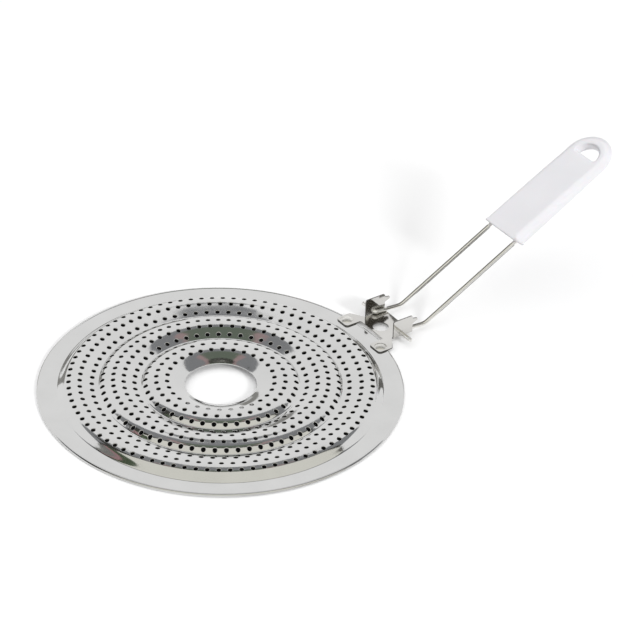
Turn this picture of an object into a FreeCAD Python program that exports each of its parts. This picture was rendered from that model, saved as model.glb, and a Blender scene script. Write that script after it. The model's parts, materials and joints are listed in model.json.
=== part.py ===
import FreeCAD, Part
import math
import os
import Sketcher
from FreeCAD import Placement, Rotation, Vector

# Stove heat plate: two stamped steel discs held together by a folded rim, a stamped
# hinge bracket riveted to the flange, and a bent wire handle with a moulded grip.
# The axis of the discs is Z, the burner side is at z = 0, and the handle lies along +X.
# The wire turns in the bracket's ears, about a line parallel to Y.

# Driving dimensions in millimetres and degrees. Radii and widths are measured in the plan.
# Rises are measured from the top of the flange.
DIMENSIONS = {
    # discs
    "opening_radius": 20.6,
    "sheet_gauge": 0.5,
    "hem_width": 1.2,
    "hem_gap": 0.1,
    "rim_bevel": 0.8,
    "lower_setback": 4.4,
    # wave of the upper disc, from the opening out to the flange
    "opening_rise": 2.1,
    "inner_slope": 8.6,
    "inner_crest": 9.1,
    "inner_fall": 7.6,
    "inner_crease_rise": 2.3,
    "middle_slope": 8.0,
    "middle_crest": 8.9,
    "middle_fall": 7.4,
    "crest_rise": 5.4,
    "outer_crease_rise": 2.1,
    "outer_slope": 8.7,
    "outer_crest": 9.2,
    "outer_fall": 5.3,
    "outer_crest_rise": 4.3,
    "flange_width": 11.6,
    # punched holes
    "punch_radius": 1.94,
    "punch_margin": 1.45,
    # rivets
    "rivet_setback": 0.22,
    "rivet_side": 17.0,
    "rivet_shank": 1.5,
    "rivet_head": 3.1,
    "rivet_head_rise": 1.1,
    "rivet_crown": 1.7,
    "rivet_tail": 1.85,
    "rivet_tail_rise": 0.35,
    "rivet_clearance": 0.04,
    # hinge bracket
    "bracket_gauge": 0.8,
    "lobe_margin": 4.3,
    "lobe_inner_margin": 5.7,
    "lobe_outer_margin": 4.7,
    "lobe_corner": 2.2,
    "lobe_overhang": 0.5,
    "notch_overhang": 1.3,
    "ear_overhang": 6.5,
    "ear_length": 13.7,
    "ear_gap": 26.8,
    "ear_rise": 11.0,
    "ear_corner": 1.4,
    "fold_radius": 0.75,
    "lug_length": 3.4,
    "lug_drop": 2.0,
    "lug_root": 3.4,
    "lug_slant": 0.8,
    "lug_tip": 1.2,
    "window_radius": 4.7,
    "window_setback": 1.1,
    # wire handle
    "wire_radius": 1.25,
    "pivot_setback": 5.5,
    "pivot_clearance": 0.08,
    "pin_length": 9.8,
    "pivot_bend": 1.0,
    "rest_clearance": 0.12,
    "arm_clearance": 0.35,
    "arm_drop": 4.5,
    "arm_length": 19.0,
    "knee_bend": 9.0,
    "shank_rise": 28.0,
    "shank_length": 72.0,
    "inside_length": 50.0,
    # grip
    "grip_length": 86.0,
    "grip_wall": 2.45,
    "grip_thickness": 9.5,
    "grip_edge": 4.2,
    "socket_clearance": 0.02,
    "hanging_hole_radius": 8.2,
}

SHEET = "Dimensions"
doc = FreeCAD.newDocument("StoveHeatPlate")


def make_sheet():
    """The spreadsheet that drives every size."""
    sheet = doc.addObject("Spreadsheet::Sheet", SHEET)
    for row, (name, value) in enumerate(DIMENSIONS.items(), start=1):
        sheet.set("A%d" % row, name)
        sheet.set("B%d" % row, str(value))
        sheet.setAlias("B%d" % row, name)
    doc.recompute()
    return sheet


sheet = make_sheet()


def size(name):
    """A driving dimension as a number."""
    return float(sheet.get(name))


def cell(expression):
    """An expression over the driving dimensions, with each name tied to its cell."""
    words = expression.split()
    return " ".join(SHEET + "." + w if w in DIMENSIONS else w for w in words)


def value(expression):
    """An expression over the driving dimensions as a number."""
    return float(sheet.evalExpression(cell(expression)))


# Heights that several pieces share, from the burner side up.
LOWER_TOP = "2 * sheet_gauge"
FLANGE_TOP = "3 * sheet_gauge"
BASE_TOP = FLANGE_TOP + " + bracket_gauge"

# Radii of the wave's turning points, from the opening out to the rim.
INNER_CREST_START = "opening_radius + inner_slope"
INNER_CREST_END = INNER_CREST_START + " + inner_crest"
INNER_CREASE = INNER_CREST_END + " + inner_fall"
MIDDLE_CREST_START = INNER_CREASE + " + middle_slope"
MIDDLE_CREST_END = MIDDLE_CREST_START + " + middle_crest"
OUTER_CREASE = MIDDLE_CREST_END + " + middle_fall"
OUTER_CREST_START = OUTER_CREASE + " + outer_slope"
OUTER_CREST_END = OUTER_CREST_START + " + outer_crest"
FLANGE_START = OUTER_CREST_END + " + outer_fall"
DISC_RADIUS = FLANGE_START + " + flange_width"

# Rows of holes on the inner and middle crests, from the opening outwards: where the row's centres
# lie, the way that a corner of its holes points, and the number of holes.
ROWS = (
    (INNER_CREST_START + " + punch_margin", 0, 30),
    (INNER_CREST_END + " - punch_margin", 180, 36),
    (MIDDLE_CREST_START + " + punch_margin", 0, 54),
    (MIDDLE_CREST_END + " - punch_margin", 180, 64),
)

# The rivets stand just inside the hem, which their tails clear.
RIVET_RADIUS = DISC_RADIUS + " - hem_width - rivet_tail - rivet_setback"
RIVET_PLACE = "sqrt( ( " + RIVET_RADIUS + " ) ^ 2 - rivet_side ^ 2 )"

# Places along the bracket.
EAR_START = DISC_RADIUS + " + ear_overhang"
EAR_END = EAR_START + " + ear_length"
EAR_INSIDE = "ear_gap / 2"
EAR_OUTSIDE = EAR_INSIDE + " + bracket_gauge"
EAR_TOP = BASE_TOP + " + ear_rise"
LUG_HIGH = EAR_TOP + " - lug_drop"
LUG_TIP_HIGH = LUG_HIGH + " - lug_slant"

# The arms of the wire rest on the outer edge of the bracket's base, which sets the pivot's height.
PIVOT_PLACE = EAR_START + " + pivot_setback"
PIVOT_HEIGHT = (
    BASE_TOP + " + ( wire_radius + rest_clearance ) / cos( arm_drop * 1 deg )"
    " + ( ear_length - pivot_setback ) * tan( arm_drop * 1 deg )"
)
ARM_SIDE = EAR_INSIDE + " - arm_clearance - wire_radius"
HALF_GRIP = ARM_SIDE + " + wire_radius + grip_wall"


def origin_plane(body, role):
    """One of a body's own base planes."""
    return next(f for f in body.Origin.OriginFeatures if f.Role == role)


def new_body(label):
    body = doc.addObject("PartDesign::Body", label)
    body.Label = label
    body.Placement = Placement()
    return body


def new_sketch(body, name, role, offset=None):
    """An empty sketch on a base plane, moved along the plane's normal by an expression."""
    sketch = body.newObject("Sketcher::SketchObject", name)
    sketch.AttachmentSupport = [(origin_plane(body, role), "")]
    sketch.MapMode = "FlatFace"
    if offset:
        sketch.setExpression("AttachmentOffset.Base.z", cell(offset))
    return sketch


def outline(sketch, corners):
    """A closed outline of straight lines through corners given as pairs of expressions."""
    count = len(corners)
    turn = 2 * math.pi / count
    start = [Vector(200 + 100 * math.cos(turn * i), 200 + 100 * math.sin(turn * i), 0) for i in range(count)]
    for i in range(count):
        sketch.addGeometry(Part.LineSegment(start[i], start[(i + 1) % count]), False)
    for i in range(count):
        sketch.addConstraint(Sketcher.Constraint("Coincident", i, 2, (i + 1) % count, 1))
    for i, pair in enumerate(corners):
        for kind, expression, value in zip(("DistanceX", "DistanceY"), pair, start[i]):
            number = sketch.addConstraint(Sketcher.Constraint(kind, -1, 1, i, 1, value))
            sketch.setExpression("Constraints[%d]" % number, cell(expression))


def polygon(centre, radius, sides, first_angle):
    """Corners of a regular polygon, as pairs of expressions."""
    angles = [first_angle + 360 / sides * i for i in range(sides)]
    return [
        (
            "%s + %s * cos( %g deg )" % (centre[0], radius, angle),
            "%s + %s * sin( %g deg )" % (centre[1], radius, angle),
        )
        for angle in angles
    ]


def circle(sketch, place_x, place_y, radius):
    """A circle whose centre and radius are expressions."""
    ring = sketch.addGeometry(Part.Circle(Vector(100, 100, 0), Vector(0, 0, 1), 10), False)
    for kind, expression in (("DistanceX", place_x), ("DistanceY", place_y)):
        number = sketch.addConstraint(Sketcher.Constraint(kind, -1, 1, ring, 3, 100))
        sketch.setExpression("Constraints[%d]" % number, cell(expression))
    number = sketch.addConstraint(Sketcher.Constraint("Radius", ring, 10))
    sketch.setExpression("Constraints[%d]" % number, cell(radius))


def turned(body, name, corners):
    """A closed outline in the XZ plane, turned about Z."""
    sketch = new_sketch(body, name + "_outline", "XZ_Plane")
    outline(sketch, corners)
    feature = body.newObject("PartDesign::Revolution", name)
    feature.Profile = sketch
    feature.ReferenceAxis = (sketch, ["V_Axis"])
    feature.Angle = 360
    return feature


def padded(body, name, sketch, length):
    feature = body.newObject("PartDesign::Pad", name)
    feature.Profile = sketch
    feature.setExpression("Length", cell(length))
    return feature


def cut_through(body, name, sketch, reversed_cut):
    feature = body.newObject("PartDesign::Pocket", name)
    feature.Profile = sketch
    feature.Type = "ThroughAll"
    feature.Reversed = reversed_cut
    return feature


def edges_where(feature, test):
    """Names of the feature's edges whose middle and ends pass the test."""
    found = []
    for i, edge in enumerate(feature.Shape.Edges, start=1):
        first, last = edge.ParameterRange
        if test(edge.valueAt(first), edge.valueAt((first + last) / 2), edge.valueAt(last)):
            found.append("Edge%d" % i)
    return found


def filleted(body, name, base, edges, radius):
    feature = body.newObject("PartDesign::Fillet", name)
    feature.Base = (base, edges)
    feature.setExpression("Radius", cell(radius))
    return feature


def same(a, b):
    return abs(a - b) < 1e-4


def make_upper_disc():
    """The waved disc, with its rim folded round the lower disc and its rows of holes.

    Each hole has three sides and the open area of a round one 2.5 across.
    """
    body = new_body("upper_disc")
    wave = (
        ("opening_radius", "opening_rise"),
        (INNER_CREST_START, "crest_rise"),
        (INNER_CREST_END, "crest_rise"),
        (INNER_CREASE, "inner_crease_rise"),
        (MIDDLE_CREST_START, "crest_rise"),
        (MIDDLE_CREST_END, "crest_rise"),
        (OUTER_CREASE, "outer_crease_rise"),
        (OUTER_CREST_START, "outer_crest_rise"),
        (OUTER_CREST_END, "outer_crest_rise"),
        (FLANGE_START, "0"),
    )
    upper_side = [(radius, FLANGE_TOP + " + " + rise) for radius, rise in wave]
    under_side = [(radius, LOWER_TOP + " + " + rise) for radius, rise in wave]
    rim = [
        (DISC_RADIUS + " - rim_bevel", FLANGE_TOP),
        (DISC_RADIUS, FLANGE_TOP + " - rim_bevel * 0.75"),
        (DISC_RADIUS, "0"),
        (DISC_RADIUS + " - hem_width", "0"),
        (DISC_RADIUS + " - hem_width", "sheet_gauge"),
        (DISC_RADIUS + " - sheet_gauge", "sheet_gauge"),
        (DISC_RADIUS + " - sheet_gauge", LOWER_TOP),
    ]
    turned(body, "waved_sheet", upper_side + rim + under_side[::-1])
    for index, (place, corner, count) in enumerate(ROWS, start=1):
        sketch = new_sketch(body, "punch_%d" % index, "XY_Plane")
        outline(sketch, polygon((place, "0"), "punch_radius", 3, corner))
        pocket = cut_through(body, "hole_%d" % index, sketch, True)
        row = body.newObject("PartDesign::PolarPattern", "row_%d" % index)
        row.Originals = [pocket]
        row.Axis = (sketch, ["N_Axis"])
        row.Angle = 360
        row.Occurrences = count
        body.Tip = row
    add_rivet_holes(body)
    return body


def add_rivet_holes(body):
    """Two holes through a sheet for the bracket's rivets."""
    for label, sign in (("left", ""), ("right", "0 - ")):
        sketch = new_sketch(body, label + "_rivet_outline", "XY_Plane")
        centre = (RIVET_PLACE, sign + "rivet_side")
        outline(sketch, polygon(centre, "( rivet_shank + rivet_clearance )", 6, 0))
        cut_through(body, label + "_rivet_hole", sketch, True)


def make_lower_disc():
    """The flat disc inside the folded rim."""
    body = new_body("lower_disc")
    inner = "opening_radius + lower_setback"
    outer = DISC_RADIUS + " - sheet_gauge - hem_gap"
    corners = [(inner, "sheet_gauge"), (outer, "sheet_gauge"), (outer, LOWER_TOP), (inner, LOWER_TOP)]
    turned(body, "flat_sheet", corners)
    add_rivet_holes(body)
    return body


def make_bracket():
    """One stamping: two lobes on the flange, a base with a window, and two ears with lugs."""
    body = new_body("hinge_bracket")
    half = [
        (DISC_RADIUS + " + notch_overhang", "rivet_side - lobe_inner_margin"),
        (RIVET_PLACE + " - lobe_margin", "rivet_side - lobe_inner_margin"),
        (RIVET_PLACE + " - lobe_margin", "rivet_side + lobe_outer_margin"),
        (DISC_RADIUS + " + lobe_overhang", "rivet_side + lobe_outer_margin"),
        (EAR_START, EAR_OUTSIDE),
        (EAR_END, EAR_OUTSIDE),
    ]
    other = [(x, "0 - ( " + y + " )") for x, y in half[::-1]]
    flat = new_sketch(body, "blank_outline", "XY_Plane", FLANGE_TOP)
    outline(flat, half + other)
    blank = padded(body, "blank", flat, "bracket_gauge")

    ear = new_sketch(body, "ear_outline", "XZ_Plane", "0 - ( " + EAR_OUTSIDE + " )")
    outline(
        ear,
        [
            (EAR_START, FLANGE_TOP),
            (EAR_END, FLANGE_TOP),
            (EAR_END, LUG_HIGH + " - lug_root"),
            (EAR_END + " + lug_length", LUG_TIP_HIGH + " - lug_tip"),
            (EAR_END + " + lug_length", LUG_TIP_HIGH),
            (EAR_END, LUG_HIGH),
            (EAR_END, EAR_TOP + " - ear_corner"),
            (EAR_END + " - ear_corner", EAR_TOP),
            (EAR_START + " + ear_corner", EAR_TOP),
            (EAR_START, EAR_TOP + " - ear_corner"),
        ],
    )
    wall = padded(body, "ear", ear, "bracket_gauge")
    pair = body.newObject("PartDesign::Mirrored", "ear_pair")
    pair.Originals = [wall]
    pair.MirrorPlane = (origin_plane(body, "XZ_Plane"), [""])
    body.Tip = pair
    doc.recompute()

    flange_top, ear_side, ear_start = value(FLANGE_TOP), value(EAR_OUTSIDE), value(EAR_START)

    def outer_fold(first, middle, last):
        low = all(same(p.z, flange_top) and same(abs(p.y), ear_side) for p in (first, middle, last))
        return low and middle.x > ear_start

    folds = filleted(body, "folds", pair, edges_where(pair, outer_fold), "fold_radius")
    doc.recompute()

    lobe_start = value(RIVET_PLACE + " - lobe_margin")

    def lobe_edge(first, middle, last):
        return same(first.x, last.x) and same(first.y, last.y) and same(middle.x, lobe_start)

    corners = filleted(body, "lobe_corners", folds, edges_where(folds, lobe_edge), "lobe_corner")
    pins = new_sketch(body, "pivot_outline", "XZ_Plane")
    circle(pins, PIVOT_PLACE, PIVOT_HEIGHT, "wire_radius + pivot_clearance")
    pivots = cut_through(body, "pivot_holes", pins, False)
    pivots.Midplane = True
    window = new_sketch(body, "window_outline", "XY_Plane")
    circle(window, EAR_START + " + window_setback", "0", "window_radius")
    cut_through(body, "window", window, True)
    add_rivet_holes(body)
    return body


def make_rivet(label, side):
    """A rivet with a low head on the lobe and a flat tail under the lower disc."""
    body = new_body(label)
    turned(
        body,
        "head",
        [
            ("0", BASE_TOP),
            ("rivet_head", BASE_TOP),
            ("rivet_crown", BASE_TOP + " + rivet_head_rise"),
            ("0", BASE_TOP + " + rivet_head_rise"),
        ],
    )
    section = new_sketch(body, "shank_outline", "XY_Plane", "sheet_gauge")
    outline(section, polygon(("0", "0"), "rivet_shank", 6, 0))
    padded(body, "shank", section, BASE_TOP + " - sheet_gauge")
    turned(
        body,
        "tail",
        [
            ("0", "sheet_gauge - rivet_tail_rise"),
            ("rivet_tail", "sheet_gauge - rivet_tail_rise"),
            ("rivet_tail", "sheet_gauge"),
            ("0", "sheet_gauge"),
        ],
    )
    body.Placement = Placement(Vector(value(RIVET_PLACE), side * size("rivet_side"), 0), Rotation())
    return body


def bent_path(corners, radii):
    """A line through corners, each bend drawn as the chord of its arc, or sharp at radius 0."""
    points = [corners[0]]
    for i in range(1, len(corners) - 1):
        back = (corners[i - 1] - corners[i]).normalize()
        ahead = (corners[i + 1] - corners[i]).normalize()
        reach = radii[i - 1] * math.tan((math.pi - back.getAngle(ahead)) / 2)
        if reach:
            points.append(corners[i] + back * reach)
        points.append(corners[i] + ahead * reach)
    points.append(corners[-1])
    return Part.makePolygon(points)


def tube(path, radius):
    """A round bar along a path of straight runs, mitred where they meet."""
    begin = path.Edges[0]
    direction = begin.tangentAt(begin.FirstParameter)
    profile = Part.Wire([Part.makeCircle(radius, begin.valueAt(begin.FirstParameter), direction)])
    return path.makePipeShell([profile], True, True, 1)


def handle_points():
    """Corners of one side of the wire: free end, pivot bend, knee, grip mouth, turn inside the grip."""
    drop, rise = math.radians(size("arm_drop")), math.radians(size("shank_rise"))
    pivot = Vector(value(PIVOT_PLACE), 0, value(PIVOT_HEIGHT))
    along_arm = Vector(math.cos(drop), 0, -math.sin(drop))
    along_shank = Vector(math.cos(rise), 0, math.sin(rise))
    side = Vector(0, value(ARM_SIDE), 0)
    knee = pivot + along_arm * size("arm_length")
    mouth = knee + along_shank * size("shank_length")
    turn = mouth + along_shank * size("inside_length")
    free_end = pivot + Vector(0, value(EAR_OUTSIDE + " + pin_length"), 0)
    return free_end, pivot + side, knee + side, mouth + side, turn + side


def mirrored(point):
    return Vector(point.x, -point.y, point.z)


def make_wire():
    """One steel wire: both ends turn out through the ears, and the loop is closed in the grip."""
    free_end, bend, knee, mouth, turn = handle_points()
    half = [free_end, bend, knee, turn]
    radii = [size("pivot_bend"), size("knee_bend"), 0]
    path = bent_path(half + [mirrored(p) for p in half[::-1]], radii + radii[::-1])
    wire = doc.addObject("Part::Feature", "handle_wire")
    wire.Label = "handle_wire"
    wire.Shape = tube(path, size("wire_radius"))
    expected = math.pi * size("wire_radius") ** 2 * path.Length
    if abs(wire.Shape.Volume / expected - 1) > 0.01:
        raise RuntimeError("the wire's volume doesn't match its length")
    return wire


def grip_section():
    """Corners of one half of the grip's section, from the middle of the top to that of the bottom."""
    upper = [
        ("0", "grip_thickness / 2"),
        (HALF_GRIP + " - grip_edge + grip_edge * tan( 15 deg )", "grip_thickness / 2"),
        (
            HALF_GRIP + " - grip_edge + grip_edge * sin( 45 deg ) / cos( 15 deg )",
            "grip_thickness / 2 - grip_edge + grip_edge * sin( 45 deg ) / cos( 15 deg )",
        ),
        (HALF_GRIP, "grip_thickness / 2 - grip_edge + grip_edge * tan( 15 deg )"),
    ]
    return upper + [(across, "0 - ( " + up + " )") for across, up in upper[::-1]]


def make_grip():
    """The moulded grip, made lying along X about its round end, then turned up to the wire's rise."""
    body = new_body("grip_body")
    right = grip_section()
    left = [("0 - ( " + across + " )", up) for across, up in right[-2:0:-1]]
    turned(body, "round_end", right)
    section = new_sketch(body, "section", "YZ_Plane")
    outline(section, right[1:-1] + left)
    bar = padded(body, "bar", section, "grip_length - ( " + HALF_GRIP + " )")
    bar.Reversed = True
    hole = body.newObject("PartDesign::SubtractiveCylinder", "hanging_hole")
    hole.Angle = 180
    hole.setExpression("Radius", cell("hanging_hole_radius"))
    hole.setExpression("Height", cell("2 * grip_thickness"))
    hole.Placement = Placement(Vector(0, 0, -size("grip_thickness")), Rotation(Vector(0, 0, 1), -90))

    mouth = handle_points()[3]
    rise = math.radians(size("shank_rise"))
    along = value("grip_length - ( " + HALF_GRIP + " )")
    end_centre = Vector(mouth.x + along * math.cos(rise), 0, mouth.z + along * math.sin(rise))
    body.Placement = Placement(end_centre, Rotation(Vector(0, -1, 0), size("shank_rise")))

    socket = doc.addObject("Part::Feature", "socket")
    knee, turn = handle_points()[2], handle_points()[4]
    path = Part.makePolygon([knee, turn, mirrored(turn), mirrored(knee)])
    socket.Shape = tube(path, size("wire_radius") + size("socket_clearance"))
    grip = doc.addObject("Part::Cut", "grip")
    grip.Base = body
    grip.Tool = socket
    grip.Label = "grip"
    return grip


pieces = [
    make_upper_disc(),
    make_lower_disc(),
    make_bracket(),
    make_rivet("left_rivet", 1),
    make_rivet("right_rivet", -1),
    make_wire(),
    make_grip(),
]
doc.recompute()

for item in doc.Objects:
    if "Invalid" in item.State or "Error" in item.State:
        raise RuntimeError("%s failed: %s" % (item.Label, item.State))

os.makedirs("parts", exist_ok=True)
for piece in pieces:
    shape = piece.Shape
    if shape.isNull() or not shape.isValid() or not shape.Solids:
        raise RuntimeError("%s has no valid solid" % piece.Label)
    shape.exportStep("parts/%s.step" % piece.Label)
    box = shape.BoundBox
    print(
        "%-14s solids %d volume %9.1f from %.2f %.2f %.2f to %.2f %.2f %.2f"
        % (
            (piece.Label, len(shape.Solids), shape.Volume)
            + (box.XMin, box.YMin, box.ZMin, box.XMax, box.YMax, box.ZMax)
        )
    )
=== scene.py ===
import json
import math

import bmesh
import bpy
from mathutils import Matrix, Quaternion, Vector
from mathutils.geometry import delaunay_2d_cdt


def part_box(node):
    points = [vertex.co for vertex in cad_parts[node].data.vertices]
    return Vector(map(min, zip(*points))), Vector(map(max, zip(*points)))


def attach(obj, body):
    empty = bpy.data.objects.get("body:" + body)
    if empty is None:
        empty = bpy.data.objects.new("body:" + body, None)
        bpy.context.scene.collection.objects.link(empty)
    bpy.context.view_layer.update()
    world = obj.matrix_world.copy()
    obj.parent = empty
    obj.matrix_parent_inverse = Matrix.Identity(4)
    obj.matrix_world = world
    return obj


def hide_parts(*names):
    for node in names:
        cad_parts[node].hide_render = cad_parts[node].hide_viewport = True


# Looks of the stove heat plate. The object's lengths are in millimetres, and MM turns them into
# metres. The floor, the cards, the lamps and the camera's distance are given in metres.
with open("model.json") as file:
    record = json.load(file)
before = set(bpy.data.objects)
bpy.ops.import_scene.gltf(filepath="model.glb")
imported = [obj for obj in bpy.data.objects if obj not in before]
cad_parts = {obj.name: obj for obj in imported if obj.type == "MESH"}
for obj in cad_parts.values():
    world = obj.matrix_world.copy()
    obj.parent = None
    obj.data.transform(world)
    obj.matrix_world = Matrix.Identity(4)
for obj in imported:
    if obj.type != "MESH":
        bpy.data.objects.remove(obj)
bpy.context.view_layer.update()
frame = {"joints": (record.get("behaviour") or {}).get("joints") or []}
MM = 0.001


def box_of(node):
    """Lowest and highest corner of a node, in millimetres."""
    low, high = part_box(node)
    return low / MM, high / MM


# Sizes and places read from the frame.
LOWER_LOW, LOWER_HIGH = box_of("lower_disc")
BRACKET_LOW, BRACKET_HIGH = box_of("hinge_bracket")
RIVET_LOW, RIVET_HIGH = box_of("left_rivet")
RIM_RADIUS = box_of("upper_disc")[1].x
WIRE_END = box_of("handle_wire")[1].y
PIVOT = Vector(frame["joints"][0]["pos_m"]) / MM

# Discs.
GAUGE = 0.5
FLANGE_TOP = 3 * GAUGE
OPENING_RADIUS = 20.6
OPENING_EDGE = 0.15
LOWER_INNER = 25.0
LOWER_RINGS = (33.0, 65.0)
EDGE_ROUNDING = 0.1
RIM_SIDES = 240
CIRCLE_STEP = 0.5
# Places of the discs' steels in their lists of materials.
BRIGHT, INSIDE_SHADE, CUT_EDGE_SHADE = 0, 1, 2

# Rim: the bead over the fold, as distances from where the rim starts and heights over the flange,
# how far from the edge it ends, and where the folded sheet is cut off underneath.
HEM_START = 103.0
BEAD = ((0.3, 0.06), (0.65, 0.2))
BEAD_SETBACK = 0.85
HEM_CUT = 0.72
HEM_ROUNDING = 0.08

# Turning points of the wave as radius and height, one arch from crease to crease per line.
ARCHES = (
    ((OPENING_RADIUS, 3.6), (25.2, 5.4), (30.6, 6.9), (34.0, 7.2), (36.9, 7.0), (43.1, 5.7), (45.8, 3.9)),
    ((45.8, 3.9), (49.1, 4.9), (55.4, 6.8), (58.5, 7.2), (61.4, 6.9), (67.5, 5.5), (69.9, 3.7)),
    ((69.9, 3.7), (73.5, 4.4), (80.4, 5.7), (83.0, 6.1), (86.5, 5.7), (88.5, 5.2), (93.2, 1.6)),
)
# The creases are rounded by a mean over this reach to both sides: shares of it, and weights.
CREASE_BLEND = 0.45
CREASE_WEIGHTS = ((-1.0, 1), (-0.5, 4), (0.0, 6), (0.5, 4), (1.0, 1))
SLOPE_STEP = 0.1

# Rows of punched holes from the rim inwards: radius, number of holes, angle of one of them.
ROWS = (
    (86.7, 86, 1.7),
    (80.4, 80, 0.6),
    (73.5, 72, 1.9),
    (67.6, 66, 0.3),
    (61.4, 64, 1.8),
    (55.4, 54, -3.2),
    (49.2, 48, 1.9),
    (43.1, 42, -0.5),
    (36.9, 36, -3.2),
    (30.7, 30, 4.8),
)
HOLE_RADIUS = 1.36
HOLE_SIDES = 16
HOLE_ROUNDING = 0.24
LIP_DEPTH = 0.6 * HOLE_ROUNDING
CELL_REACH = 2.0

# The holes, the cards and the lamps are placed from the photograph's right, which lies about this
# many degrees clockwise from the handle.
HANDLE_TURN = 34.0

# Bracket.
SHEET = 0.8
BASE_TOP = FLANGE_TOP + SHEET
NOTCH_END = 106.3
NOTCH_HALF = 11.3
NOTCH_ROUNDING = 1.2
LOBE_END = 105.5
LOBE_ROUNDING = 2.0
EAR_START = 111.5
EAR_END = 125.2
EAR_OUTSIDE = 14.2
EAR_ROUNDING = 1.2
# Corners of the lug on each ear: place along the ear, height over the base, and rounding.
LUG = (
    (EAR_END, 9.0, 0.3),
    (BRACKET_HIGH.x, 8.3, 0.4),
    (BRACKET_HIGH.x, 7.0, 0.4),
    (EAR_END, 5.6, 0.4),
)
WINDOW_PLACE = 112.6
WINDOW_RADIUS = 4.7
PIVOT_PLAY = 0.12
FOLD_INSIDE = 0.45
FOLD_STEPS = 6
FOLD_MIDDLE = FOLD_INSIDE + SHEET / 2
FOLD_START = EAR_OUTSIDE - SHEET - FOLD_INSIDE
FOLD_LENGTH = FOLD_MIDDLE * math.pi / 2
WELD = 0.004
BRACKET_BEVEL = 0.13
BEVEL_ANGLE = math.radians(50)

# Rivets.
RIVET_HEAD = 3.7
RIVET_STEM = 1.5
RIVET_TAIL = 1.85
TAIL_ROUNDING = 0.08
RIVET_SIDES = 40

# Wire.
WIRE_RADIUS = 1.25
WIRE_SIDES = 24
WIRE_HIDDEN = 20.0
ARM_SIDE = 11.8
ARM_DROP = math.radians(4.5)
ARM_LENGTH = 19.0
SHANK_RISE = math.radians(28.0)
SHANK_LENGTH = 72.0
PIVOT_BEND = 1.6
KNEE_BEND = 9.0
# Length of the rounded tip in shares of the wire's radius, and where its rings lie along it.
TIP_LENGTH = 0.45
TIP_RINGS = (0.0, 0.5, 0.8, 0.95)

# Grip.
GRIP_LENGTH = 86.0
GRIP_WIDTH = 31.0
GRIP_THICKNESS = 9.5
GRIP_CORNER = 2.2
GRIP_EDGE = 4.2
MOUTH_EDGE = 1.3
GRIP_TAPER = 0.5
GRIP_SLANT = 0.38
SLANT_REACH = 20.0
GRIP_STEPS = 8
QUARTERS = (0.25, 0.5, 0.75)
HANGING_RADIUS = 8.6
HANGING_SETBACK = 0.8
HANGING_CORNER = 0.9
HANGING_INSET = 1.3
HANGING_EDGE = 1.9
HANGING_STEPS = 4

# Scales of the textures, in features to the metre, and heights of the fine bumps, in metres.
CLOUD_SCALE = 45.0
RUB_SCALE = 900.0
SWELL_SCALE = 38.0
GRAIN_SCALE = 2500.0
GRAIN_HEIGHT = 0.000004
GRIP_CLOUD_SCALE = 30.0
SKIN_SCALE = 1800.0
SKIN_HEIGHT = 0.00002
# Between these values lies most of a noise.
NOISE_LOW = 0.3
NOISE_HIGH = 0.7


# Node materials.


class Nodes:
    """A material's node tree, with short calls to add and join nodes."""

    def __init__(self, name):
        self.material = bpy.data.materials.new(name)
        self.material.use_nodes = True
        self.tree = self.material.node_tree
        self.shader = self.tree.nodes["Principled BSDF"]

    def add(self, kind, inputs=(), **settings):
        """A new node. An input is either a number or the output that feeds it."""
        node = self.tree.nodes.new(kind)
        for key, value in settings.items():
            setattr(node, key, value)
        for key, value in dict(inputs).items():
            if isinstance(value, bpy.types.NodeSocket):
                self.tree.links.new(value, node.inputs[key])
            else:
                node.inputs[key].default_value = value
        return node

    def join(self, output, socket):
        self.tree.links.new(output, self.shader.inputs[socket])

    def set(self, socket, value):
        self.shader.inputs[socket].default_value = value

    def calculated(self, operation, first, second):
        return self.add("ShaderNodeMath", {0: first, 1: second}, operation=operation).outputs[0]

    def noise(self, vector, scale, detail=3.0, roughness=0.5):
        inputs = {"Vector": vector, "Scale": scale, "Detail": detail, "Roughness": roughness}
        return self.add("ShaderNodeTexNoise", inputs).outputs["Fac"]

    def ranged(self, noise, low, high):
        """A noise spread from low to high, and held there at both ends."""
        inputs = {"Value": noise, "From Min": NOISE_LOW, "From Max": NOISE_HIGH}
        inputs.update({"To Min": low, "To Max": high})
        return self.add("ShaderNodeMapRange", inputs).outputs["Result"]

    def blended(self, factor, first, second):
        mix = self.add("ShaderNodeMix", {"Factor": factor}, data_type="RGBA")
        mix.inputs[6].default_value = (*first, 1)
        mix.inputs[7].default_value = (*second, 1)
        return mix.outputs[2]

    def bump(self, height, distance, strength, normal=None):
        inputs = {"Height": height, "Distance": distance, "Strength": strength}
        if normal:
            inputs["Normal"] = normal
        return self.add("ShaderNodeBump", inputs).outputs["Normal"]

    def place(self):
        return self.add("ShaderNodeTexCoord").outputs["Object"]


def sheet_steel(name, colour, shade, low, high, wave):
    """Bright steel: unevenness of a height, cloudy gloss between two values, fine rubbing marks."""
    made = Nodes(name)
    place = made.place()
    cloud = made.noise(place, CLOUD_SCALE, 4.0)
    rub = made.noise(place, RUB_SCALE, 6.0, 0.7)
    made.join(made.blended(made.ranged(cloud, 0.0, 1.0), colour, shade), "Base Color")
    gloss = made.calculated("ADD", made.ranged(cloud, low, high), made.ranged(rub, -0.02, 0.03))
    made.join(gloss, "Roughness")
    swell = made.noise(place, SWELL_SCALE, 1.6)
    grain = made.noise(place, GRAIN_SCALE)
    made.join(made.bump(grain, GRAIN_HEIGHT, 0.5, made.bump(swell, wave, 1.0)), "Normal")
    made.set("Metallic", 1.0)
    return made.material


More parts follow.
